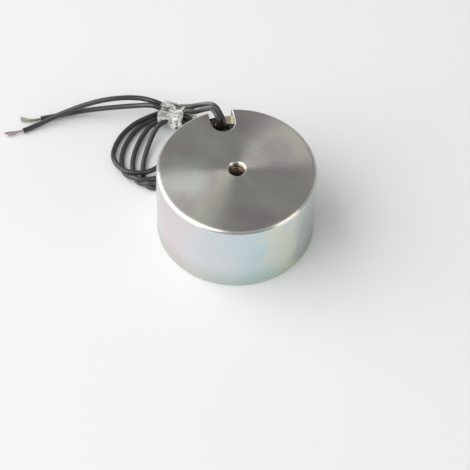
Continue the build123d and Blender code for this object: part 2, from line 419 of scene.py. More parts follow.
@dataclass(frozen=True)
class PotMetal:
    """Turned steel with a clear zinc finish: darker turned back, bright wall, holes dark with stain and
    painted shade.
    """

    back_colour: Colour = (0.53, 0.51, 0.465)
    back_shade: Colour = (0.44, 0.405, 0.405)
    back_green: Colour = (0.57, 0.58, 0.505)
    # A paler patch on the -X side of the back and a darker one on the +X side.
    pale_patch_colour: Colour = (0.66, 0.70, 0.645)
    dark_patch_colour: Colour = (0.37, 0.335, 0.35)
    # Bright lines on the rim, the notch's edge and the hole's cone: partly burnished wear, partly painted
    # highlight.
    burnish_and_highlight: Colour = (0.84, 0.84, 0.80)
    wall_colour: Colour = (0.67, 0.72, 0.75)
    # Grey and slate darken the +X side of the wall: partly a tint, partly painted shade.
    grey_tint_and_shade: Colour = (0.54, 0.59, 0.56)
    slate_tint_and_shade: Colour = (0.57, 0.65, 0.63)
    pink: Colour = (0.75, 0.675, 0.69)
    cyan: Colour = (0.60, 0.74, 0.765)
    straw: Colour = (0.75, 0.775, 0.69)
    # Painted shade at the foot: the wall turns darker and greener towards the floor.
    painted_foot_shade: Colour = (0.84, 0.87, 0.80)
    hole_stain_and_shade_dark: Colour = (0.24, 0.17, 0.125)
    hole_stain_and_shade_light: Colour = (0.30, 0.25, 0.20)
    notch_pale: Colour = (0.80, 0.76, 0.66)
    notch_stain: Colour = (0.62, 0.52, 0.36)
    fleck_colour: Colour = (0.2, 0.2, 0.2)
    back_slope: Ramp = (0.30, 0.72)
    back_height: Ramp = (0.0256, 0.0262)
    pale_patch_place: Place = (-0.0165, 0.0005, 0.027)
    pale_patch_reach: float = 0.011
    dark_patch_place: Place = (0.0125, 0.0030, 0.027)
    dark_patch_reach: float = 0.009
    rim_inner: Ramp = (0.0240, 0.0243)
    rim_outer: Ramp = (0.0248, 0.0245)
    lip_width: Ramp = (0.00052, 0.00026)
    cone_radius: Ramp = (0.00315, 0.0030)
    foot_shade_height: Ramp = (0.0095, 0.0015)
    hole_radius: Ramp = (0.0027, 0.0025)
    hole_height: Ramp = (0.0140, 0.0150)
    notch_centre: float = 0.0195
    notch_half: float = 0.0038
    notch_across: Ramp = (0.0043, 0.0040)
    notch_inward: Ramp = (0.0150, 0.0154)
    notch_height: Ramp = (0.0226, 0.0230)
    mark_density: float = 5200
    mark_depth: float = 0.000006
    grain_density: float = 5200
    grain_depth: float = 0.000004
    ragged: float = 0.35
    core: float = 0.25

    def tinted_wall(self, s: Shader) -> Socket:
        """Colour of the wall: faint tints of the clear finish that change round the pot, with the +X side
        darker, partly tint and partly painted shade.

        Args:
            s: The shader.

        Returns:
            Socket with the colour.
        """
        compass = s.maths("ARCTAN2", s.axis(s.place, "Y"), s.axis(s.place, "X"))
        drift = s.scaled(s.noise(70, 3, 0.55, 0.8), -0.10, 0.10)
        whole_turns = s.maths("MULTIPLY_ADD", compass, 0.5 / math.pi, 1.0)
        ramp = s.node("ShaderNodeValToRGB")
        s.feed(ramp.inputs[0], s.maths("FRACT", s.maths("ADD", whole_turns, drift)))
        stops = ramp.color_ramp.elements
        # The grey and slate stops, at 0.875 and at both ends, are partly painted shade.
        tints = (
            (0.0, self.grey_tint_and_shade), (0.14, self.straw), (0.28, self.cyan), (0.42, self.wall_colour),
            (0.56, self.pink), (0.67, self.wall_colour), (0.77, self.cyan), (0.82, self.straw),
            (0.875, self.slate_tint_and_shade), (1.0, self.grey_tint_and_shade),
        )
        stops[0].color = (*tints[0][1], 1.0)
        stops[1].color = (*tints[-1][1], 1.0)
        for place, tint in tints[1:-1]:
            stops.new(place).color = (*tint, 1.0)
        return ramp.outputs["Color"]

    def stain(self, s: Shader, centre: Place, reach: float) -> Socket:
        """Soft round patch with a cloudy outline.

        Args:
            s: The shader.
            centre: Its centre.
            reach: Its radius.

        Returns:
            Socket that is 1 at the centre and 0 at the outline.
        """
        away = s.node("ShaderNodeVectorMath", operation="DISTANCE")
        s.feed(away.inputs[0], s.place)
        away.inputs[1].default_value = centre
        drift = s.scaled(s.noise(160, 3, 0.6, 0.5), -self.ragged * reach, self.ragged * reach)
        return s.between(s.maths("ADD", away.outputs["Value"], drift), reach, self.core * reach)

    def turned_back(self, s: Shader) -> Socket:
        """Colour of the turned back: cloudy tints, a paler patch on the -X side and a darker one on the +X
        side, turning rings and a mottle.

        Args:
            s: The shader.

        Returns:
            Socket with the colour.
        """
        shade = s.between(s.noise(55, 2, 0.5, 0.6), 0.42, 0.66)
        green = s.between(s.noise(48, 1, at=s.stretched((0.4, 0.1, 0))), 0.5, 0.7)
        pale = self.stain(s, self.pale_patch_place, self.pale_patch_reach)
        dark = self.stain(s, self.dark_patch_place, self.dark_patch_reach)
        rings = s.laid(s.line_noise(s.radius(), 2300, 5), (0.25, 0.25, 0.25), (0.8, 0.8, 0.8))
        mottle = s.laid(s.noise(650, 3, 0.6, 0.5), (0.2, 0.2, 0.22), (0.85, 0.85, 0.8))
        face = s.laid(shade, self.back_colour, self.back_shade)
        face = s.laid(s.times(green, 0.7), face, self.back_green)
        face = s.laid(s.times(pale, 0.75), face, self.pale_patch_colour)
        face = s.laid(s.times(dark, 0.6), face, self.dark_patch_colour)
        face = s.laid(0.12, face, rings, Blend.OVERLAY)
        return s.laid(0.14, face, mottle, Blend.OVERLAY)

    def notch_distance(self, s: Shader) -> Socket:
        """Distance from the lead notch, in plan.

        Args:
            s: The shader.

        Returns:
            Socket with the distance.
        """
        inward = s.maths("MINIMUM", s.maths("SUBTRACT", s.axis(s.place, "Y"), self.notch_centre), 0.0)
        across = s.axis(s.place, "X")
        square = s.maths("ADD", s.times(across, across), s.times(inward, inward))
        return s.maths("SUBTRACT", s.maths("SQRT", square), self.notch_half)

    def burnish_and_highlight_lines(self, s: Shader) -> Socket:
        """Mask of the bright lines, partly burnished wear and partly painted highlight: the rim, the notch's
        edge and the hole's cone.

        Args:
            s: The shader.

        Returns:
            Socket with the mask.
        """
        radius = s.radius()
        rim = s.times(s.between(radius, *self.rim_inner), s.between(radius, *self.rim_outer))
        lip = s.times(s.between(self.notch_distance(s), *self.lip_width), 0.9)
        return s.maths("MAXIMUM", rim, s.maths("MAXIMUM", lip, s.between(radius, *self.cone_radius)))

    def inside_hole(self, s: Shader) -> Socket:
        """Mask of the tapped hole's wall, which is coloured dark brown: a stain and painted shade."""
        height = s.between(s.axis(s.place, "Z"), *self.hole_height)
        return s.times(s.between(s.radius(), *self.hole_radius), height)

    def inside_notch(self, s: Shader, back: Socket) -> Socket:
        """Mask of the lead notch's wall.

        Args:
            s: The shader.
            back: Mask of the back.

        Returns:
            Socket with the mask.
        """
        across = s.between(s.maths("ABSOLUTE", s.axis(s.place, "X")), *self.notch_across)
        inside = s.times(across, s.between(s.axis(s.place, "Y"), *self.notch_inward))
        inside = s.times(inside, s.between(s.axis(s.place, "Z"), *self.notch_height))
        return s.times(inside, s.rest(back))

    def tool_marks(self, s: Shader, back: Socket) -> Socket:
        """Relief of the turning, by radius on the back and by height on the wall, with a fine grain.

        Args:
            s: The shader.
            back: Mask of the back.

        Returns:
            Socket with the normal.
        """
        rings = s.times(s.line_noise(s.radius(), self.mark_density, 2), back)
        rounds = s.times(s.line_noise(s.axis(s.place, "Z"), self.mark_density, 2), s.rest(back))
        grooves = s.relief(s.maths("ADD", rings, rounds), self.mark_depth, 0.6)
        return s.relief(s.noise(self.grain_density, 2), self.grain_depth, 0.5, grooves)

    def make(self) -> bpy.types.Material:
        """Build the material.

        Returns:
            The material.
        """
        s = Shader("turned_zinc_steel")
        height = s.axis(s.place, "Z")
        up = s.axis(s.node("ShaderNodeNewGeometry").outputs["True Normal"], "Z")
        back = s.times(s.between(up, *self.back_slope), s.between(height, *self.back_height))
        # Painted shade at the foot: darker and greener towards the floor.
        foot_shade = s.between(height, *self.foot_shade_height)
        side = s.laid(foot_shade, self.tinted_wall(s), self.painted_foot_shade, Blend.MULTIPLY)
        # Bright lines laid on the back: partly burnished wear, partly painted highlight.
        face = s.laid(self.burnish_and_highlight_lines(s), self.turned_back(s), self.burnish_and_highlight)
        colour = s.laid(back, side, face)
        rust = s.between(s.noise(2600, 3), 0.35, 0.7)
        # Dark brown in the tapped hole: a stain and painted shade.
        colour = s.laid(self.inside_hole(s), colour, s.laid(rust, self.hole_stain_and_shade_dark, self.hole_stain_and_shade_light))
        stain = s.between(s.noise(700, 3, 0.6, 0.5), 0.42, 0.62)
        notch_wall = s.laid(stain, self.notch_pale, self.notch_stain)
        colour = s.laid(self.inside_notch(s, back), colour, notch_wall)
        fleck = s.between(s.cells(1400), 0.09, 0.05)
        colour = s.laid(s.times(fleck, 0.25), colour, self.fleck_colour)
        rough = s.maths("ADD", s.scaled(s.noise(320, 3, 0.6), 0.20, 0.27), s.times(back, 0.08))
        tangent = s.node("ShaderNodeTangent", direction_type="RADIAL", axis="Z")
        s.set(Base_Color=colour, Metallic=1.0, Roughness=rough, Anisotropic=0.94)
        s.set(Anisotropic_Rotation=0.25, Normal=self.tool_marks(s, back), Tangent=tangent.outputs[0])
        return s.material


@dataclass(frozen=True)
class ThreadMetal:
    """Cut thread, dark brown with a stain and painted shade, brighter on its crests."""

    brown_stain_and_shade: Colour = (0.22, 0.165, 0.12)
    pale_stain_and_shade: Colour = (0.36, 0.29, 0.22)
    bright: Colour = (0.60, 0.53, 0.44)
    crest_radius: Ramp = (0.00208, 0.00196)

    def make(self) -> bpy.types.Material:
        """Build the material.

        Returns:
            The material.
        """
        s = Shader("cut_thread_steel")
        crest = s.between(s.radius(), *self.crest_radius)
        stain = s.between(s.noise(1900, 3, 0.6), 0.35, 0.7)
        colour = s.laid(s.times(crest, 0.7), s.laid(stain, self.brown_stain_and_shade, self.pale_stain_and_shade), self.bright)
        s.set(Base_Color=colour, Metallic=1.0, Roughness=s.scaled(s.noise(2500), 0.24, 0.42))
        s.set(Normal=s.relief(s.noise(9000, 2), 0.000008, 0.5))
        return s.material


@dataclass(frozen=True)
class Resin:
    """Cast black resin with a faint skin, dust and pin holes."""

    dark: Colour = (0.011, 0.011, 0.012)
    light: Colour = (0.028, 0.028, 0.030)
    dust_colour: Colour = (0.16, 0.155, 0.15)

    def make(self) -> bpy.types.Material:
        """Build the material.

        Returns:
            The material.
        """
        s = Shader("cast_black_resin")
        cloud = s.noise(160, 4, 0.6, 0.5)
        dust = s.between(s.noise(5200, 2), 0.66, 0.74)
        colour = s.laid(s.times(dust, 0.35), s.laid(cloud, self.dark, self.light), self.dust_colour)
        pits = s.between(s.cells(520), 0.045, 0.09)
        skin = s.relief(s.noise(260, 2, 0.5, 0.4), 0.00006, 0.6)
        s.set(Base_Color=colour, Roughness=s.scaled(cloud, 0.16, 0.34), Coat_Weight=0.25, Coat_Roughness=0.12)
        s.set(Normal=s.relief(pits, 0.00008, 0.8, skin))
        return s.material


@dataclass(frozen=True)
class Moulded:
    """Moulded plastic with a fine grain, such as the bobbin or a sleeve."""

    name: str
    dark: Colour
    light: Colour
    rough: tuple[float, float]
    grain: float
    depth: float

    def make(self) -> bpy.types.Material:
        """Build the material.

        Returns:
            The material.
        """
        s = Shader(self.name)
        cloud = s.noise(420, 3, 0.6)
        rubbed = s.between(s.noise(1500, 4, 0.7), 0.58, 0.70)
        lifted = tuple(min(1.0, part * 1.8 + 0.01) for part in self.light)
        colour = s.laid(s.times(rubbed, 0.4), s.laid(cloud, self.dark, self.light), lifted)
        grain = s.relief(s.noise(self.grain, 3), self.depth, 0.6)
        s.set(Base_Color=colour, Roughness=s.scaled(cloud, *self.rough), Normal=grain)
        return s.material


@dataclass(frozen=True)
class WoundCopper:
    """Enamelled copper wound in layers, each turn a fine ridge, with painted shade in the grooves between
    turns.
    """

    pitch: float = 0.00035
    dark: Colour = (0.50, 0.17, 0.07)
    light: Colour = (0.66, 0.27, 0.12)
    groove_shade: Colour = (0.10, 0.03, 0.015)

    def make(self) -> bpy.types.Material:
        """Build the material.

        Returns:
            The material.
        """
        s = Shader("wound_enamelled_copper")
        phase = s.times(s.axis(s.place, "Z"), 2 * math.pi / self.pitch)
        ridge = s.maths("MULTIPLY_ADD", s.maths("SINE", phase), 0.5, 0.5)
        cloud = s.noise(240, 3)
        # Painted shade in the grooves between turns.
        colour = s.laid(s.between(ridge, 0.25, 0.0), s.laid(cloud, self.dark, self.light), self.groove_shade)
        s.set(Base_Color=colour, Metallic=0.85, Roughness=s.scaled(cloud, 0.2, 0.34))
        s.set(Coat_Weight=0.6, Coat_Roughness=0.1, Normal=s.relief(ridge, 0.0001, 0.8))
        return s.material


@dataclass(frozen=True)
class BareMetal:
    """Plain drawn or cast metal with stains, such as tinned copper or solder."""

    name: str
    bright: Colour
    stain: Colour
    rough: tuple[float, float]
    patch: float
    stained: float

    def make(self) -> bpy.types.Material:
        """Build the material.

        Returns:
            The material.
        """
        s = Shader(self.name)
        cloud = s.noise(self.patch, 3, 0.6, 0.4)
        patches = s.times(s.between(cloud, 0.40, 0.62), self.stained)
        s.set(Base_Color=s.laid(patches, self.bright, self.stain), Metallic=1.0)
        s.set(Roughness=s.scaled(cloud, *self.rough))
        s.set(Normal=s.relief(s.noise(self.patch * 6, 2), 0.00002, 0.5))
        return s.material


@dataclass(frozen=True)
class LeadSkin:
    """Soft black plastic of the leads, with a bloom and small scuffs."""

    dark: Colour = (0.020, 0.019, 0.018)
    bloom_colour: Colour = (0.040, 0.038, 0.037)
    scuff_colour: Colour = (0.13, 0.128, 0.13)
    lint_colour: Colour = (0.30, 0.30, 0.30)

    def make(self) -> bpy.types.Material:
        """Build the material.

        Returns:
            The material.
        """
        s = Shader("soft_black_lead")
        bloom = s.noise(130, 3, 0.55, 0.3)
        scuff = s.between(s.noise(900, 4, 0.7, 1.2), 0.60, 0.72)
        lint = s.between(s.cells(2600), 0.10, 0.05)
        colour = s.laid(bloom, self.dark, self.bloom_colour)
        colour = s.laid(s.times(scuff, 0.35), colour, self.scuff_colour)
        colour = s.laid(s.times(lint, 0.30), colour, self.lint_colour)
        wave = s.relief(s.noise(420, 2), 0.00005, 0.4)
        s.set(Base_Color=colour, Roughness=s.scaled(bloom, 0.27, 0.37), Specular_IOR_Level=0.65)
        s.set(Coat_Weight=0.3, Coat_Roughness=0.18, Normal=s.relief(s.noise(7000, 2), 0.00001, 0.5, wave))
        return s.material


@dataclass(frozen=True)
class Film:
    """Clear film, milky where it is creased, its creases drawn out along the tie."""

    clear: Colour = (0.66, 0.67, 0.65)
    milk: Colour = (0.86, 0.86, 0.83)
    centre: Place = (-0.0109, 0.0447, 0.005)
    turned: float = 58.0
    drawn_out: Place = (0.42, 1.25, 1.0)
    creases: float = 360
    cover: tuple[float, float] = (0.32, 0.72)

    def make(self) -> bpy.types.Material:
        """Build the material.

        Returns:
            The material.
        """
        s = Shader("creased_clear_film")
        drawn = s.stretched(self.centre, (0.0, 0.0, math.radians(self.turned)), self.drawn_out)
        edges = s.cells(self.creases, "DISTANCE_TO_EDGE", drawn)
        crease = s.times(s.between(edges, 0.10, 0.0), 0.9)
        cloud = s.between(s.noise(330, 4, 0.6, 0.9, drawn), 0.42, 0.64)
        milky = s.maths("MAXIMUM", crease, cloud)
        folds = s.relief(edges, 0.0003, 0.30)
        s.set(Base_Color=s.laid(milky, self.clear, self.milk), Alpha=s.scaled(milky, *self.cover))
        s.set(Roughness=0.30, IOR=1.5, Coat_Weight=0.4, Coat_Roughness=0.08)
        s.set(Normal=s.relief(s.noise(1100, 3), 0.00008, 0.5, folds))
        return s.material


@dataclass
class PhotoCamera:
    """Camera at the photograph's place: above the front left, looking down at the pot."""

    place: Vector = field(default_factory=lambda: Vector((-0.09652, -0.38229, 0.51507)))
    aim: Vector = field(default_factory=lambda: Vector((-0.00126, -0.00502, 0.0)))
    roll: float = math.radians(1.6117)
    sensor: float = 36.0
    lens: float = 155.489
    nearest: float = 0.01
    farthest: float = 20.0

    def build(self) -> bpy.types.Object:
        """Make the camera and use it.

        Returns:
            The camera object.
        """
        data = bpy.data.cameras.new("photo_camera")
        data.sensor_width = self.sensor
        data.lens = self.lens
        data.clip_start = self.nearest
        data.clip_end = self.farthest
        camera = bpy.data.objects.new("photo_camera", data)
        bpy.context.scene.collection.objects.link(camera)
        camera.location = self.place
        camera.rotation_mode = "QUATERNION"
        look = (self.aim - self.place).to_track_quat("-Z", "Y")
        camera.rotation_quaternion = look @ Quaternion((0, 0, 1), self.roll)
        bpy.context.scene.camera = camera
        return camera


@dataclass(frozen=True)
class SoftBox:
    """One soft lamp with a flat front, at a compass angle and a rise in degrees."""

    name: str
    compass: float
    rise: float
    distance: float
    size: tuple[float, float]
    power: float
    colour: Colour

    def build(self, aim: Vector) -> bpy.types.Object:
        """Make the lamp.

        Args:
            aim: Point that it looks at.

        Returns:
            The lamp object.
        """
        lamp = bpy.data.lights.new(self.name, "AREA")
        lamp.shape = "RECTANGLE"
        lamp.size, lamp.size_y = self.size
        lamp.energy = self.power
        lamp.color = self.colour
        box = bpy.data.objects.new(self.name, lamp)
        bpy.context.scene.collection.objects.link(box)
        turn, rise = math.radians(self.compass), math.radians(self.rise)
        way = Vector((math.cos(turn) * math.cos(rise), math.sin(turn) * math.cos(rise), math.sin(rise)))
        box.location = aim + way * self.distance
        box.rotation_mode = "QUATERNION"
        box.rotation_quaternion = (-way).to_track_quat("-Z", "Y")
        return box


@dataclass
class Studio:
    """Pale floor, a plain sky and soft lamps."""

    aim: Vector = field(default_factory=lambda: Vector((-0.01, 0.01, 0.01)))
    floor_size: float = 6.0
    floor_drop: float = 0.0001
    paper_dark: Colour = (0.83, 0.835, 0.84)
    paper_light: Colour = (0.86, 0.86, 0.86)
    glow_colour: Colour = (0.99, 0.995, 1.0)
    glow_share: float = 0.07
    sky: Colour = (0.95, 0.95, 0.97)
    sky_strength: float = 0.39
    lamps: tuple[SoftBox, ...] = (
        SoftBox("window_left", 175.0, 40.0, 0.90, (1.62, 1.26), 13.9, (1.0, 1.0, 0.985)),
        SoftBox("panel_right", 321.0, 20.0, 0.80, (0.44, 0.40), 1.15, (1.0, 0.96, 0.87)),
    )

    def build(self) -> None:
        """Make the floor, the sky and the lamps."""
        self.build_floor()
        self.build_sky()
        for lamp in self.lamps:
            lamp.build(self.aim)
        LOG.info("studio: floor, sky and %d lamps", len(self.lamps))

    def build_floor(self) -> None:
        """Make the floor, a little brighter where it is seen or reflected, with the shadow kept."""
        deselect_everything()
        bpy.ops.mesh.primitive_plane_add(size=self.floor_size, location=(0, 0, -self.floor_drop))
        floor = bpy.context.object
        floor.name = "studio_floor"
        settle(floor)
        s = Shader("pale_floor")
        s.tree.nodes.remove(s.surface)
        paper = s.node("ShaderNodeBsdfDiffuse")
        s.feed(paper.inputs["Color"], s.laid(s.noise(14, 2), self.paper_dark, self.paper_light))
        glow = s.node("ShaderNodeEmission")
        s.feed(glow.inputs["Color"], self.glow_colour)
        path = s.node("ShaderNodeLightPath").outputs
        reflected = s.maths("MAXIMUM", path["Is Glossy Ray"], path["Is Transmission Ray"])
        seen = s.maths("MAXIMUM", path["Is Camera Ray"], reflected)
        both = s.node("ShaderNodeMixShader")
        s.feed(both.inputs[0], s.times(seen, self.glow_share))
        s.feed(both.inputs[1], paper.outputs[0])
        s.feed(both.inputs[2], glow.outputs[0])
        s.feed(s.output.inputs[0], both.outputs[0])
        floor.data.materials.append(s.material)

    def build_sky(self) -> None:
        """Give the world one plain colour."""
        world = bpy.data.worlds.new("studio_sky")
        world.use_nodes = True
        background = world.node_tree.nodes["Background"]
        background.inputs[0].default_value = (*self.sky, 1.0)
        background.inputs[1].default_value = self.sky_strength
        bpy.context.scene.world = world


@dataclass(frozen=True)
class PotDress:
    """Finishes of the solids that keep their shape."""

    metal: PotMetal = PotMetal()
    resin: Resin = Resin()
    copper: WoundCopper = WoundCopper()
    nylon: Moulded = Moulded(
        "black_nylon_bobbin", (0.013, 0.013, 0.014), (0.030, 0.030, 0.032), (0.35, 0.5), 4200, 0.00003)
    sleeve: Moulded = Moulded(
        "shrink_sleeve", (0.016, 0.016, 0.018), (0.034, 0.034, 0.037), (0.28, 0.4), 900, 0.00005)
    tape: Moulded = Moulded(
        "amber_film_tape", (0.42, 0.20, 0.03), (0.62, 0.33, 0.07), (0.14, 0.26), 700, 0.00004)
    enamel: BareMetal = BareMetal(
        "enamelled_copper_wire", (0.62, 0.22, 0.09), (0.40, 0.12, 0.05), (0.18, 0.3), 900, 0.7)
    solder: BareMetal = BareMetal(
        "soft_solder", (0.66, 0.66, 0.67), (0.36, 0.35, 0.34), (0.2, 0.38), 700, 0.6)

    def build(self, nodes: dict[str, bpy.types.Object]) -> None:
        """Give each solid its finish.

        Args:
            nodes: The frame's solids by name.
        """
        sleeve, enamel, solder = self.sleeve.make(), self.enamel.make(), self.solder.make()
        finishes = {
            "pot_core": self.metal.make(),
            "potting_resin": self.resin.make(),
            "bobbin": self.nylon.make(),
            "coil_winding": self.copper.make(),
            "winding_tape": self.tape.make(),
        }
        for lead in LeadName:
            finishes[f"winding_wire_{lead.value}"] = enamel
            finishes[f"solder_joint_{lead.value}"] = solder
            finishes[f"joint_sleeve_{lead.value}"] = sleeve
        for name, material in finishes.items():
            solid = nodes[name]
            if not solid.material_slots:
                solid.data.materials.append(material)
            for slot in solid.material_slots:
                slot.material = material
            LOG.info("%s: %s", name, material.name)


@dataclass(frozen=True)
class HoleThread:
    """Helical ridge of the thread on the wall of the tapped hole."""

    wall_radius: float = 0.0021
    crest_radius: float = 0.00194
    sunk: float = 0.00002
    pitch: float = 0.0008
    root_share: float = 0.36
    crest_share: float = 0.06
    bottom: float = 0.0163
    turns: int = 12
    steps: int = 40
    merge: float = 0.000001
    smooth_below: float = 30.0

    def build(self) -> bpy.types.Object:
        """Model the ridge from one triangle, screwed round the axis.

        Returns:
            The finished piece.
        """
        deselect_everything()
        bpy.ops.mesh.primitive_circle_add(vertices=3, radius=1.0, fill_type="NOTHING", location=(0, 0, 0))
        ridge = bpy.context.object
        ridge.name = "thread_ridge"
        corners = (
            (self.wall_radius + self.sunk, self.bottom - self.root_share * self.pitch),
            (self.wall_radius + self.sunk, self.bottom + self.root_share * self.pitch),
            (self.crest_radius, self.bottom + self.crest_share * self.pitch),
        )
        for vertex, (out, up) in zip(ridge.data.vertices, corners):
            vertex.co = (out, 0.0, up)
        apply_modifier(
            ridge, "SCREW", axis="Z", angle=2 * math.pi, screw_offset=self.pitch, iterations=self.turns,
            steps=self.steps, render_steps=self.steps, use_merge_vertices=False, use_smooth_shade=True)
        bpy.ops.object.mode_set(mode="EDIT")
        bpy.ops.mesh.select_all(action="SELECT")
        bpy.ops.mesh.remove_doubles(threshold=self.merge)
        bpy.ops.mesh.fill_holes(sides=4)
        bpy.ops.mesh.select_all(action="SELECT")
        bpy.ops.mesh.normals_make_consistent(inside=False)
        bpy.ops.object.mode_set(mode="OBJECT")
        bpy.ops.object.shade_smooth_by_angle(angle=math.radians(self.smooth_below))
        finish_with(ridge, ThreadMetal().make())
        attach(ridge, "root")
        LOG.info("thread_ridge: %d turns of %.1f mm", self.turns, self.pitch * 1000)
        return ridge


@dataclass(frozen=True)
class Bundle:
    """Axis of the strands in the tie."""

    centre: Vector = Vector((-0.0109, 0.0447, 0.00475))
    axis: Vector = Vector((-0.85, 0.48, -0.18)).normalized()
    half: float = 0.0048
    straight: float = 0.002
    ring: float = 0.0025
    mouth: float = 0.0034
    spacing: float = 0.0016
    bulge: float = 1.04
    crossing: float = 0.004

    def around(self, angle: float) -> Vector:
        """Offset of a strand from the axis.

        Args:
            angle: Place round the axis, in degrees, from the side of the pot's front upwards.

        Returns:
            The offset.
        """
        front = Vector((0, 0, 1)).cross(self.axis).normalized()
        up = self.axis.cross(front)
        turn = math.radians(angle)
        return (front * math.cos(turn) + up * math.sin(turn)) * self.ring

    def strand(self, angle: float, along: float) -> Vector:
        """Centre of the strand at an angle in degrees, so far along the axis from the tie's middle."""
        return self.centre + self.axis * along + self.around(angle)

    def passage(self, first: float, last: float, start: float, end: float,
                cross: float | None = None) -> list[Vector]:
        """Points of a strand that changes its place in the tie.

        Args:
            first: Its place at the start, in degrees.
            last: Its place at the end, in degrees.
            start: Where it starts along the axis.
            end: Where it ends along the axis.
            cross: Where it goes through the middle of the bundle; it stays on the ring if not given.

        Returns:
            The points between start and end.
        """
        count = max(3, round((end - start) / self.spacing))
        made = []
        for number in range(1, count + 1):
            share = number / (count + 1)
            along = start + (end - start) * share
            if cross is None:
                side = self.around(first + (last - first) * ease(share)) * self.bulge
            else:
                through = ease((along - cross + self.crossing / 2) / self.crossing)
                side = self.around(first).lerp(self.around(last), through)
            made.append(self.centre + side + self.axis * along)
        return made


@dataclass(frozen=True)
class Turn:
    """One loose turn: its ellipse in plan, where it rises over other strands, and its way back."""

    centre: tuple[float, float]
    halves: tuple[float, float]
    turned: float
    lift: float
    rise: Ramp
    start: float
    end: float
    leave_slot: float
    return_slot: float
    reach: float
    gather: tuple[Place, ...]
    cross: float | None = None
    count: int = 12
    descent: float = 70
    sag: float = 0.0005

    def points(self, bundle: Bundle, lead_radius: float) -> list[Vector]:
        """Points of the turn, from the tie's far end round to its near end.

        Args:
            bundle: The tied bundle.
            lead_radius: Radius of the lead.

        Returns:
            The control points.
        """
        leave = bundle.strand(self.leave_slot, bundle.half + self.reach)
        made = [leave]
        step = math.radians((self.end - self.start) / (self.count - 1))
        # The spline runs a little inside its control points, so these lie a little outside the ellipse.
        grow = 1 / (1 - step * step / 12)
        tilt = math.radians(self.turned)
        for number in range(self.count):
            angle = self.start + (self.end - self.start) * number / (self.count - 1)
            along = grow * self.halves[0] * math.cos(math.radians(angle))
            side = grow * self.halves[1] * math.sin(math.radians(angle))
            x = self.centre[0] + along * math.cos(tilt) - side * math.sin(tilt)
            y = self.centre[1] + along * math.sin(tilt) + side * math.cos(tilt)
            z = lead_radius + self.lift * ease((angle - self.rise[0]) / (self.rise[1] - self.rise[0]))
            fall = max(0.0, 1 - (angle - self.start) / self.descent)
            z += max(leave.z - lead_radius - self.sag, 0.0) * fall * fall
            made.append(Vector((x, y, z)))
        made += [Vector(place) for place in self.gather]
        return made + [bundle.strand(self.return_slot, -bundle.mouth)]


@dataclass
class Lead:
    """One insulated lead: its splice, the notch, the tie, its turns and its stripped end."""

    name: LeadName
    splice_x: float
    slot: float
    exit_route: tuple[Place, ...]
    tail_route: tuple[Place, ...]
    turns: tuple[Turn, ...]
    replaced: tuple[str, ...]
    tail_rise: float
    exit_rise: float
    bundle: Bundle = field(default_factory=Bundle)
    diameter: float = 0.0017
    splice_y: float = 0.020473
    splice_heights: tuple[float, float] = (0.0158, 0.0200)
    exit_height: float = 0.0232
    exit_part: float = 0.6
    tail_part: float = 0.5
    facets: int = 5
    fineness: int = 8
    piece: bpy.types.Object | None = None

    def route(self) -> list[Vector]:
        """All control points of the lead.

        Returns:
            The points in order.
        """
        bundle = self.bundle
        near, far = bundle.half, bundle.half + bundle.straight
        points = [Vector((self.splice_x, self.splice_y, height)) for height in self.splice_heights]
        points += [Vector(point) for point in self.exit_route]
        up = Vector((0, 0, self.exit_rise))
        points += [bundle.strand(self.slot, -far) + up, bundle.strand(self.slot, -near) + up * self.exit_part]
        place, along = self.slot, -near
        for turn in self.turns:
            points += bundle.passage(place, turn.leave_slot, along, near + turn.reach)
            points += turn.points(bundle, self.diameter / 2)
            place, along = turn.return_slot, -bundle.mouth
        points += bundle.passage(place, self.slot + 360, along, near, self.turns[-1].cross)
        up = Vector((0, 0, self.tail_rise))
        points += [bundle.strand(self.slot, near) + up * self.tail_part, bundle.strand(self.slot, far) + up]
        return points + [Vector(point) for point in self.tail_route]

    def build(self, material: bpy.types.Material) -> None:
        """Make the lead's curve.

        Args:
            material: Its finish.
        """
        curve = round_curve(f"lead_{self.name.value}", self.diameter, self.facets, self.fineness)
        add_spline(curve, self.route())
        curve.materials.append(material)
        self.piece = bpy.data.objects.new(curve.name, curve)
        bpy.context.scene.collection.objects.link(self.piece)
        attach(self.piece, "root")
        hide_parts(*self.replaced)

    def centreline(self) -> list[Vector]:
        """Points along the lead's spline.

        Returns:
            The points in order.
        """
        bare = self.piece.copy()
        bare.data = self.piece.data.copy()
        bare.data.bevel_depth = 0.0
        bare.data.use_fill_caps = False
        bpy.context.scene.collection.objects.link(bare)
        bpy.context.view_layer.update()
        line = bpy.data.meshes.new_from_object(bare)
        points = [vertex.co.copy() for vertex in line.vertices]
        bpy.data.meshes.remove(line)
        bpy.data.curves.remove(bare.data)
        return points

    def length(self) -> float:
        """Length of the lead along its spline."""
        points = self.centreline()
        return sum((b - a).length for a, b in zip(points, points[1:]))

    def declare(self, pieces: list[bpy.types.Object]) -> None:
        """Log the lead's length.

        Args:
            pieces: Not used.
        """
        length = self.length()
        LOG.info("lead_%s: %.1f mm long", self.name.value, length * 1000)


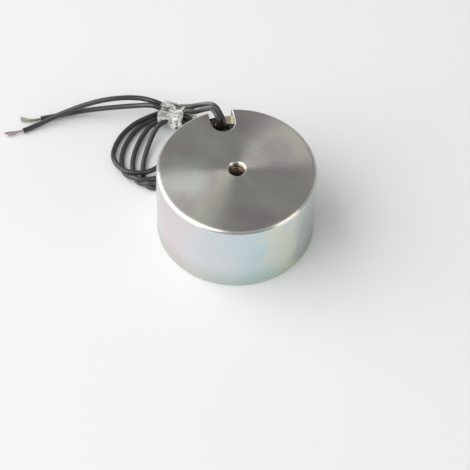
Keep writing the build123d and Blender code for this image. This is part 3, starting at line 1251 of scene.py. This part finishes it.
@dataclass
class BareStrands:
    """Fine copper strands that stand out of a stripped end."""

    lead: Lead
    tips: tuple[Place, ...]
    count: int
    fan: float
    flat: float
    twist: float
    seed: int
    eye: float
    wire: float = 0.00018
    bunch: float = 0.00032
    sunk: float = 0.0012
    parting: float = 0.35
    uneven: tuple[float, float] = (0.75, 1.25)
    reaches: tuple[float, float] = (0.86, 1.0)
    lowest: float = 0.6
    facets: int = 1
    fineness: int = 6

    def offset(self, number: int, share: float, side: Vector, wobble: float) -> Vector:
        """Way from the middle line to one wire.

        Args:
            number: Which wire.
            share: Place along the strands, 0 at the lead and 1 at the tip.
            side: Level direction across the strands.
            wobble: How far this wire fans out, 1 for the mean.

        Returns:
            The offset.
        """
        spread = math.sqrt((number + 0.5) / self.count)
        grow = 1.0 + self.fan * wobble * share * share
        turn = number * EVEN_TURN + self.twist * share
        made = side * math.cos(turn) * spread * self.bunch * grow
        made += Vector((0, 0, 1)) * math.sin(turn) * spread * self.bunch * (1 + (grow - 1) * self.flat)
        parted = self.eye * math.sin(math.pi * ease((share - self.parting) / (1 - self.parting)))
        return made + side * (parted if number % 2 else -parted)

    def build(self, material: bpy.types.Material) -> bpy.types.Object:
        """Make the strands along a line that goes on from the lead's spline.

        Args:
            material: Their finish.

        Returns:
            The finished piece.
        """
        line = self.lead.centreline()
        # A point a little way back along the lead gives its heading.
        start, before = line[-1], line[-4]
        heading = (start - before).normalized()
        side = Vector((0, 0, 1)).cross(heading).normalized()
        middle = [start - heading * self.sunk, start, *[Vector(tip) for tip in self.tips]]
        last = len(middle) - 1
        scatter = random.Random(self.seed)
        curve = round_curve(f"strands_{self.lead.name.value}", self.wire, self.facets, self.fineness)
        for number in range(self.count):
            wobble = scatter.uniform(*self.uneven)
            reach = scatter.uniform(*self.reaches)
            centres = [*middle[:-1], middle[-2].lerp(middle[-1], reach)]
            spots = []
            for place, centre in enumerate(centres):
                spot = centre + self.offset(number, place / last, side, wobble)
                spot.z = max(spot.z, self.wire * self.lowest)
                spots.append(spot)
            add_spline(curve, spots)
        strands = bpy.data.objects.new(curve.name, curve)
        bpy.context.scene.collection.objects.link(strands)
        choose(strands)
        bpy.ops.object.convert(target="MESH")
        strands = bpy.context.object
        finish_with(strands, material)
        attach(strands, "root")
        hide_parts(f"bare_strands_{self.lead.name.value}")
        LOG.info("%s: %d wires", strands.name, self.count)
        return strands


@dataclass(frozen=True)
class FilmLayer:
    """One crumpled turn of film round the bundle."""

    radius: float
    length: float
    shift: Place
    swing: float
    lean: float
    around: int
    rings: int
    crumple: float
    seed: int
    flare: float


@dataclass
class TieFilm:
    """Clear film wound loosely round the bundle and crumpled."""

    bundle: Bundle = field(default_factory=Bundle)
    lowest: float = 0.0001
    thickness: float = 0.00005
    smooth_below: float = 32.0
    layers: tuple[FilmLayer, ...] = (
        FilmLayer(0.0035, 0.0086, (0.0006, -0.0005, -0.0005), -10.0, 4.0, 16, 7, 0.00036, 3, 0.20),
        FilmLayer(0.0035, 0.0076, (0.0021, -0.0013, -0.0007), -22.0, 9.0, 14, 6, 0.00042, 8, 0.12),
        FilmLayer(0.0034, 0.0070, (0.0001, -0.0007, -0.0007), -17.0, -8.0, 14, 6, 0.00050, 15, 0.22),
    )

    def build_layer(self, layer: FilmLayer) -> bpy.types.Object:
        """Model one layer: an open tube, divided, flared at its ends and crumpled.

        Args:
            layer: Sizes of the layer.

        Returns:
            The layer's mesh object.
        """
        deselect_everything()
        turn = self.bundle.axis.to_track_quat("Z", "Y").to_euler()
        centre = self.bundle.centre + Vector(layer.shift)
        bpy.ops.mesh.primitive_cylinder_add(
            vertices=layer.around, radius=layer.radius, depth=layer.length, end_fill_type="NOTHING",
            location=centre, rotation=turn)
        tube = bpy.context.object
        bpy.ops.object.mode_set(mode="EDIT")
        bpy.ops.mesh.select_all(action="DESELECT")
        bpy.ops.object.mode_set(mode="OBJECT")
        for edge in tube.data.edges:
            low, high = (tube.data.vertices[number].co.z for number in edge.vertices)
            edge.select = abs(high - low) > layer.length / 2
        bpy.ops.object.mode_set(mode="EDIT")
        bpy.ops.mesh.subdivide(number_cuts=layer.rings - 1)
        bpy.ops.object.mode_set(mode="OBJECT")
        for vertex in tube.data.vertices:
            wider = 1 + layer.flare * (2 * vertex.co.z / layer.length) ** 2
            vertex.co.x *= wider
            vertex.co.y *= wider
        bpy.ops.object.mode_set(mode="EDIT")
        bpy.ops.mesh.select_all(action="SELECT")
        bpy.ops.transform.rotate(value=math.radians(-layer.swing), orient_axis="Z", center_override=centre)
        bpy.ops.transform.rotate(value=math.radians(layer.lean), orient_axis="X", center_override=centre)
        bpy.ops.transform.vertex_random(offset=layer.crumple, uniform=0.35, normal=0.65, seed=layer.seed)
        bpy.ops.mesh.quads_convert_to_tris(quad_method="SHORTEST_DIAGONAL")
        bpy.ops.object.mode_set(mode="OBJECT")
        settle(tube)
        for vertex in tube.data.vertices:
            vertex.co.z = max(vertex.co.z, self.lowest)
        return tube

    def build(self, material: bpy.types.Material) -> bpy.types.Object:
        """Model the film.

        Args:
            material: Its finish.

        Returns:
            The finished piece.
        """
        choose(*[self.build_layer(layer) for layer in self.layers])
        bpy.ops.object.join()
        film = bpy.context.object
        film.name = "tie_wrap"
        apply_modifier(film, "SOLIDIFY", thickness=self.thickness, offset=0.0)
        bpy.ops.object.shade_smooth_by_angle(angle=math.radians(self.smooth_below))
        finish_with(film, material)
        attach(film, "root")
        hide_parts("tie_film")
        LOG.info("tie_wrap: %d layers, %d faces", len(self.layers), len(film.data.polygons))
        return film


# The loose turns, from the outermost at the left to the innermost.
TURNS = (
    Turn(
        centre=(-0.0203, 0.0360), halves=(0.0145, 0.0102), turned=38.0, lift=0.00175, rise=(130, 158),
        start=66, end=234, leave_slot=235, return_slot=358, reach=0.0009,
        gather=(
            (-0.0184, 0.0266, 0.0023), (-0.0150, 0.0290, 0.0013), (-0.0120, 0.0319, 0.0009),
            (-0.0098, 0.0350, 0.0016), (-0.0082, 0.0382, 0.0036),
        ),
    ),
    Turn(
        centre=(-0.0182, 0.0341), halves=(0.0156, 0.0104), turned=49.0, lift=0.0021, rise=(156, 180),
        start=64, end=222, leave_slot=275, return_slot=320, reach=0.0003,
        gather=(
            (-0.0170, 0.0243, 0.0027), (-0.0135, 0.0271, 0.0014), (-0.0100, 0.0304, 0.0009),
            (-0.0076, 0.0342, 0.0009), (-0.0065, 0.0384, 0.0020),
        ),
    ),
    Turn(
        centre=(-0.0170, 0.0329), halves=(0.0156, 0.0084), turned=57.0, lift=0.00175, rise=(164, 186),
        start=58, end=210, leave_slot=315, return_slot=282, reach=-0.0018,
        gather=(
            (-0.0174, 0.0219, 0.0022), (-0.0130, 0.0252, 0.0012), (-0.0086, 0.0288, 0.00087),
            (-0.0058, 0.0330, 0.00087), (-0.0047, 0.0374, 0.0010), (-0.0056, 0.0413, 0.0014),
        ),
        cross=0.0012,
    ),
    Turn(
        centre=(-0.0158, 0.0322), halves=(0.0156, 0.0062), turned=60.0, lift=0.0, rise=(150, 176),
        start=60, end=204, leave_slot=355, return_slot=244, reach=-0.0042,
        gather=(
            (-0.0179, 0.0202, 0.00087), (-0.0135, 0.0232, 0.00087), (-0.0088, 0.0266, 0.00087),
            (-0.0046, 0.0310, 0.00087), (-0.0028, 0.0362, 0.0011), (-0.0030, 0.0406, 0.0012),
            (-0.0047, 0.0430, 0.0013),
        ),
        cross=-0.0013,
    ),
)


def make_leads() -> list[Lead]:
    """The two leads with their routes.

    Returns:
        Lead a and lead b.
    """
    a = Lead(
        name=LeadName.A,
        splice_x=-0.00105,
        slot=75.0,
        exit_route=(
            (-0.00095, 0.0206, 0.0242), (-0.0012, 0.0215, 0.0276), (-0.0021, 0.0254, 0.0276),
            (-0.0030, 0.0303, 0.0216), (-0.0037, 0.0349, 0.0160), (-0.0046, 0.0389, 0.0107),
        ),
        tail_route=(
            (-0.0224, 0.0508, 0.0046), (-0.0304, 0.0529, 0.0032), (-0.0384, 0.0548, 0.0016),
            (-0.0464, 0.0552, 0.00087), (-0.0535, 0.05485, 0.00085),
        ),
        turns=(TURNS[0], TURNS[3]),
        replaced=("lead_a_exit", "lead_a_tail", "lead_coil"),
        tail_rise=0.0015,
        exit_rise=0.0008,
    )
    b = Lead(
        name=LeadName.B,
        splice_x=0.00105,
        slot=115.0,
        exit_route=(
            (0.0008, 0.0208, 0.0244), (0.0001, 0.0233, 0.0264), (-0.0008, 0.0276, 0.0261),
            (-0.0017, 0.0330, 0.0207), (-0.0025, 0.0379, 0.0150), (-0.0034, 0.0409, 0.0115),
        ),
        tail_route=(
            (-0.0208, 0.0517, 0.0073), (-0.0280, 0.0532, 0.0072), (-0.0365, 0.0542, 0.0058),
            (-0.0475, 0.0538, 0.0029), (-0.0555, 0.0521, 0.00095), (-0.0600, 0.0510, 0.00085),
        ),
        turns=(TURNS[1], TURNS[2]),
        replaced=("lead_b_exit", "lead_b_tail"),
        tail_rise=0.0017,
        exit_rise=0.0011,
    )
    return [a, b]


def make_strands(leads: list[Lead]) -> list[bpy.types.Object]:
    """Build the fine strands of both stripped ends.

    Args:
        leads: Lead a and lead b.

    Returns:
        The strands of lead a and those of lead b.
    """
    dull = BareMetal(
        "tinned_copper_strands", (0.60, 0.62, 0.50), (0.34, 0.35, 0.26), (0.26, 0.4), 900, 0.7).make()
    rosy = BareMetal(
        "tinned_copper_strands_rosy", (0.74, 0.67, 0.64), (0.46, 0.33, 0.28), (0.26, 0.4), 900, 0.6).make()
    tips_a = ((-0.0562, 0.0547, 0.00085), (-0.0581, 0.0555, 0.0008), (-0.0602, 0.0564, 0.00075))
    tips_b = (
        (-0.0616, 0.05093, 0.0008), (-0.0632, 0.0508, 0.0008), (-0.0646, 0.0507, 0.0008),
        (-0.0657, 0.05072, 0.0008), (-0.06635, 0.0512, 0.00075),
    )
    fanned = BareStrands(leads[0], tips_a, count=19, fan=2.2, flat=0.5, twist=1.4, seed=5, eye=0.0)
    parted = BareStrands(leads[1], tips_b, count=10, fan=0.3, flat=0.5, twist=0.5, seed=9, eye=0.0006)
    return [fanned.build(dull), parted.build(rosy)]


def main() -> None:
    """Build everything in order and report it."""
    logging.basicConfig(level=logging.INFO, format="%(message)s")
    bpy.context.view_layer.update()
    PhotoCamera().build()
    leads = make_leads()
    skin = LeadSkin().make()
    for lead in leads:
        lead.build(skin)
    strands_a, strands_b = make_strands(leads)
    film = TieFilm().build(Film().make())
    leads[0].declare([strands_a, film])
    leads[1].declare([strands_b])
    PotDress().build(frame["nodes"])
    HoleThread().build()
    Studio().build()
    bpy.context.scene.view_settings.view_transform = "Standard"


if __name__ == "__main__":
    main()
